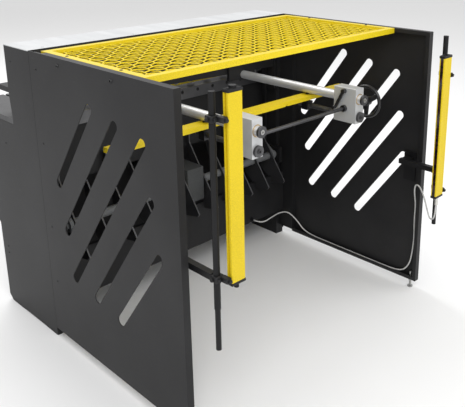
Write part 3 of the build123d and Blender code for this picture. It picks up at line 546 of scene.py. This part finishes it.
def cut_thread():
    place, fill = new_finish("lead_screw_thread")
    ring = place.node("ShaderNodeTexWave", {"bands_direction": "Y", "wave_profile": "TRI"},
                      {"Vector": place, "Scale": 2 * pi / (20 * thread_pitch)}, 1)
    grease = place.noise(60, 4).ramp(0.45, 0.7)
    # Painted highlight: the wave rings lighten the colour on the crests; grease patches lighten it
    # too.
    crest_highlight_and_grease = ring * 0.6 + grease * 0.3
    return fill(bump=ring, height=0.0009,
                Base_Color=crest_highlight_and_grease.blend((0.03, 0.03, 0.032), (0.16, 0.16, 0.165)),
                Roughness=0.32 + grease * 0.15, Metallic=0.8)


screw_thread = cut_thread()
finish_nodes(screw_thread, "lead_screw_left", "lead_screw_right")
finish_nodes(black_oxide, "gauge_nuts")

# ---- Handwheel ------------------------------------------------------------------------------
# Moulded black phenolic wheel with a round rim, three flat tapering spokes and a bossed hub,
# held on the cross shaft by a set screw.
wheel_low, wheel_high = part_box("handwheel")
wheel_middle = (wheel_low + wheel_high) / 2
wheel_radius = (wheel_high.z - wheel_low.z) / 2
rim_thickness = 0.0072
hub_radius = 0.017
hub_length = wheel_high.x - wheel_low.x
spoke_count = 3
first_spoke = 30
spoke_thickness = 0.007
spoke_width = 0.026
spoke_reach = wheel_radius - rim_thickness


def inset_and_sink(piece, chosen, thickness, depth):
    """Insets the chosen flat faces and pushes them in by depth."""
    select_faces(piece, chosen)
    bpy.ops.mesh.inset(thickness=thickness)
    bpy.ops.mesh.extrude_region_shrink_fatten(TRANSFORM_OT_shrink_fatten={"value": -depth})
    bpy.ops.object.mode_set(mode="OBJECT")


def box_part(centre, size):
    """Square block, in place."""
    deselect_all()
    bpy.ops.mesh.primitive_cube_add(size=1, location=centre)
    block = bpy.context.object
    block.scale = size
    bpy.ops.object.transform_apply(location=True, rotation=True, scale=True)
    return block


deselect_all()
bpy.ops.mesh.primitive_torus_add(location=wheel_middle, rotation=(0, pi / 2, 0), major_segments=72,
                                 minor_segments=18, major_radius=spoke_reach,
                                 minor_radius=rim_thickness)
rim = bpy.context.object
select_faces(rim, lambda face: abs(face.normal.x) > 0.93)
bpy.ops.transform.resize(value=(0.9, 1, 1))
bpy.ops.object.mode_set(mode="OBJECT")
hub = turned_part(wheel_middle, hub_radius, hub_length, "X", 40)
inset_and_sink(hub, lambda face: abs(face.normal.x) > 0.9, 0.006, 0.003)
bevel_edges(hub, 0.0015, 3)
wheel_pieces = [rim, hub]
for turn in range(spoke_count):
    angle = radians(first_spoke + 360 / spoke_count * turn)
    spoke = box_part((wheel_middle.x, wheel_middle.y + spoke_reach / 2, wheel_middle.z),
                     (spoke_thickness, spoke_reach, spoke_width))
    select_faces(spoke, lambda face: face.normal.y > 0.9)
    bpy.ops.transform.resize(value=(0.8, 1, 0.62))
    bpy.ops.object.mode_set(mode="OBJECT")
    inset_and_sink(spoke, lambda face: abs(face.normal.x) > 0.9, 0.004, 0.0012)
    bevel_edges(spoke, 0.001, 2)
    bpy.ops.object.mode_set(mode="EDIT")
    bpy.ops.mesh.select_all(action="SELECT")
    bpy.ops.transform.rotate(value=-angle, orient_axis="X", center_override=wheel_middle)
    bpy.ops.object.mode_set(mode="OBJECT")
    wheel_pieces.append(spoke)
phenolic = moulded_plastic("black_phenolic", (0.014, 0.014, 0.015), 0.28, 500, 0.4)
join_last(wheel_pieces)
bpy.ops.object.shade_smooth_by_angle(angle=radians(40))
name_piece("handwheel_moulding", "handwheel_shaft", phenolic, ["handwheel"])
finish_nodes(phenolic, "clamp_lever")

# ---- Gauge bar ------------------------------------------------------------------------------
# A flat steel bar, painted the guard's yellow, with its top edges broken and rubbed by sheets.
gauge_paint = powder_coat("gauge_bar_paint", (0.82, 0.62, 0.014), 0.38, 120, 0.00001, 0.0)
finish_nodes(gauge_paint, "gauge_bar")

# ---- Drive: rocker shaft, levers and gear motor ---------------------------------------------
# Grey machine paint over turned and cast steel. The motor's drum has cooling fins, a
# pressed fan cowl and a terminal box.
machine_grey = powder_coat("machine_grey_paint", (0.15, 0.155, 0.16), 0.40, 180, 0.0001, 0.15)
motor_paint = powder_coat("motor_paint", (0.075, 0.078, 0.08), 0.45, 180, 0.0001, 0.12)
finish_nodes(machine_grey, "rocker_shaft", "rocker_levers")
motor_low, motor_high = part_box("gear_motor")
motor_x = (motor_low.x + motor_high.x) / 2
gearbox_width, gearbox_length, gearbox_height = 0.088, 0.145, 0.15
gearbox_middle_z = 0.425
gearbox_front = motor_low.y + gearbox_length
drum_middle_z = 0.44
drum_radius = 0.058
drum_length = 0.2
fin_count = 28
fin_height = 0.0105
cowl_radius = 0.0695
cowl_length = 0.06
terminal_size = (0.06, 0.12, 0.054)
terminal_distance = 0.085
terminal_middle_z = 0.532
gearbox = box_part((motor_x, motor_low.y + gearbox_length / 2, gearbox_middle_z),
                   (gearbox_width, gearbox_length, gearbox_height))
inset_and_sink(gearbox, lambda face: abs(face.normal.x) > 0.9, 0.012, 0.004)
bevel_edges(gearbox, 0.004, 3)
drum = turned_part((motor_x, gearbox_front + drum_length / 2, drum_middle_z), drum_radius,
                   drum_length, "Y", 2 * fin_count)
flute(drum, lambda face: abs(face.normal.y) < 0.5 and face.index % 2 == 0, 0.0006, fin_height)
cowl = turned_part((motor_x, motor_high.y - cowl_length / 2, drum_middle_z), cowl_radius,
                   cowl_length, "Y", 56)
inset_and_sink(cowl, lambda face: face.normal.y > 0.9, 0.014, 0.006)
bevel_edges(cowl, 0.004, 3)
terminal_box = box_part((motor_x, gearbox_front + terminal_distance, terminal_middle_z),
                        terminal_size)
inset_and_sink(terminal_box, lambda face: abs(face.normal.x) > 0.9, 0.006, -0.002)
bevel_edges(terminal_box, 0.003, 3)
join_last([gearbox, drum, cowl, terminal_box])
name_piece("gear_motor_casting", "machine", motor_paint, ["gear_motor"])

# ---- Levelling feet -------------------------------------------------------------------------
# Zinc-plated bolts with a swivel foot, locked by a nut on each side of the panel's flange.
finish_nodes(zinc, "levelling_feet")

# ---- Light curtain --------------------------------------------------------------------------
# Yellow painted extrusions with a clouded black window. Their round posts and the arms are black
# steel.
curtain_yellow = powder_coat("curtain_yellow", (0.74, 0.55, 0.012), 0.40, 900, 0.00002, 0.0)
finish_nodes(curtain_yellow, "light_curtain_left", "light_curtain_right")


def window_strip():
    place, fill = new_finish("curtain_window")
    lenses = place.stretched(0, 0, 1).noise(50, 0).ramp(0.45, 0.55)
    return fill(bump=lenses, height=0.0001,
                Base_Color=lenses.blend((0.004, 0.004, 0.005), (0.03, 0.006, 0.006)),
                Roughness=0.10 + lenses * 0.06, Coat_Weight=0.6)


finish_nodes(window_strip(), "curtain_windows")
post_steel = bright_metal("post_steel", (0.010, 0.010, 0.011), 0.42, (1, 1, 0.3), stain=0.3,
                          metallic=0.1, sheen=0.25)
finish_nodes(post_steel, "curtain_posts", "curtain_arms")

# ---- Post clamps ----------------------------------------------------------------------------
# Each clamp is a split collar round the post and a lug that holds the curtain's side groove,
# cast in black, with a hexagon bolt and washer across the split, one through the lug, and on the
# left a third from outside.
post_radius = 0.0095
post_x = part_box("curtain_posts")[1].x - post_radius
post_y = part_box("curtain_posts")[0].y + post_radius
curtain_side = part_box("light_curtain_right")[1].x
clamp_half = 0.015
clamp_tall = 0.020
lug_depth = 0.040
lug_bolt_x = curtain_side + 0.009
split_bolt_x = post_x + 0.006
clamp_pieces = []


def clamp_block(low, high, rounding):
    """Cast block between two corners with rounded edges."""
    cast = box_part((Vector(low) + Vector(high)) / 2, [abs(b - a) for a, b in zip(low, high)])
    bevel_edges(cast, rounding, 3)
    return cast


def hexagon_bolt(spot, axis, way):
    """Washer and hexagon head, standing on a face."""
    along = Vector((way, 0, 0)) if axis == "X" else Vector((0, way, 0))
    washer = turned_part(spot + along * 0.0008, 0.0072, 0.0016, axis, 24)
    head = turned_part(spot + along * 0.0041, 0.0060, 0.0050, axis, 6)
    bevel_edges(head, 0.0006, 2)
    return [washer, head]


for side, rises in ((-1, (0.570, 1.026)), (1, (0.502, 0.958))):
    for rise in rises:
        low_z, high_z = rise - clamp_tall / 2, rise + clamp_tall / 2
        collar = clamp_block((side * (post_x - clamp_half), post_y - clamp_half, low_z),
                             (side * (post_x + clamp_half), post_y + clamp_half, high_z), 0.005)
        inset_and_sink(collar, lambda face: abs(face.normal.z) > 0.9, 0.0015, 0.001)
        lug = clamp_block((side * curtain_side, post_y - lug_depth, low_z + 0.002),
                          (side * (post_x - 0.002), post_y - clamp_half + 0.004, high_z - 0.002),
                          0.003)
        bridge = clamp_block((side * curtain_side, post_y - 0.028, low_z + 0.004),
                             (side * (post_x - clamp_half + 0.003), post_y + 0.008,
                              high_z - 0.004), 0.002)
        clamp_pieces += [collar, lug, bridge]
        if side < 0:
            outer = Vector((side * (post_x + clamp_half), post_y, rise))
            clamp_pieces += hexagon_bolt(outer, "X", side)
        clamp_pieces += hexagon_bolt(Vector((side * lug_bolt_x, post_y - lug_depth, rise)), "Y", -1)
        inner = Vector((side * split_bolt_x, post_y - clamp_half, rise))
        clamp_pieces += hexagon_bolt(inner, "Y", -1)
join_last(clamp_pieces)
name_piece("curtain_clamp_set", "machine", black_moulding, ["post_clamps"])

# ---- Curtain caps ---------------------------------------------------------------------------
# A moulded black cap closes each end of the two units, held by two small screws. The left
# unit has a knurled round cover on its top cap and a blanked cable outlet under its foot.
cap_depth = 0.009
cap_overhang = 0.001
cap_screw_reach = 0.019
cap_screw_radius = 0.0028
cap_screw_height = 0.0012
cap_pieces = []
for unit in ("light_curtain_left", "light_curtain_right"):
    unit_low, unit_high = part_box(unit)
    unit_middle = (unit_low + unit_high) / 2
    for way, low_z in ((-1, unit_low.z - cap_depth), (1, unit_high.z)):
        cap = clamp_block((unit_low.x - cap_overhang, unit_low.y - cap_overhang, low_z),
                          (unit_high.x + cap_overhang, unit_high.y + cap_overhang,
                           low_z + cap_depth), 0.0018)
        inset_and_sink(cap, lambda face: face.normal.z * way > 0.9, 0.002, 0.0006)
        cap_pieces.append(cap)
        face_z = low_z + (cap_depth if way > 0 else 0)
        for reach in (-cap_screw_reach, cap_screw_reach):
            screw = turned_part((unit_middle.x + reach, unit_middle.y, face_z - way * 0.0004),
                                cap_screw_radius, cap_screw_height, "Z", 20)
            inset_and_sink(screw, lambda face: face.normal.z * way > 0.9, 0.0012, 0.0008)
            cap_pieces.append(screw)
        if unit.endswith("left"):
            knob_radius, knob_height = (0.0105, 0.0075) if way > 0 else (0.0070, 0.0130)
            knob = turned_part((unit_middle.x, unit_middle.y, face_z + way * knob_height / 2),
                               knob_radius, knob_height, "Z", 36)
            flute(knob, lambda face: abs(face.normal.z) < 0.5, 0.0003, -0.0003)
            inset_and_sink(knob, lambda face: face.normal.z * way > 0.9, 0.0018, -0.0004)
            cap_pieces.append(knob)
join_last(cap_pieces)
name_piece("curtain_cap_set", "machine", black_moulding, ["curtain_caps"])

# ---- Floor and lights -----------------------------------------------------------------------
# Pale seamless studio floor under broad soft lights.
deselect_all()
bpy.ops.mesh.primitive_plane_add(size=24, location=(0, 0, 0))
floor = bpy.context.object
floor.name = "studio_floor"
_, fill = new_finish("studio_floor_paint")
floor.data.materials.append(fill(Base_Color=(0.86, 0.86, 0.86, 1), Roughness=0.9))
bpy.context.scene.view_settings.view_transform = "Standard"
world = bpy.data.worlds.new("studio")
bpy.context.scene.world = world
world.use_nodes = True
sky = world.node_tree.nodes["Background"]
sky.inputs["Color"].default_value = (1, 1, 1, 1)
sky.inputs["Strength"].default_value = 0.80
softbox_size = 3.0
lit_spot = Vector((0, 0, 0.6))
for name, spot, power in (("key", (-2.2, -3.8, 4.6), 150), ("fill", (3.5, -3.5, 3.0), 40),
                          ("back", (0.5, 3.6, 5.0), 150)):
    lamp_data = bpy.data.lights.new(name + "_softbox", "AREA")
    lamp_data.size = softbox_size
    lamp_data.energy = power
    lamp = bpy.data.objects.new(name + "_softbox", lamp_data)
    lamp.location = spot
    lamp.rotation_euler = (lit_spot - Vector(spot)).to_track_quat("-Z", "Y").to_euler()
    bpy.context.collection.objects.link(lamp)

bpy.context.view_layer.update()
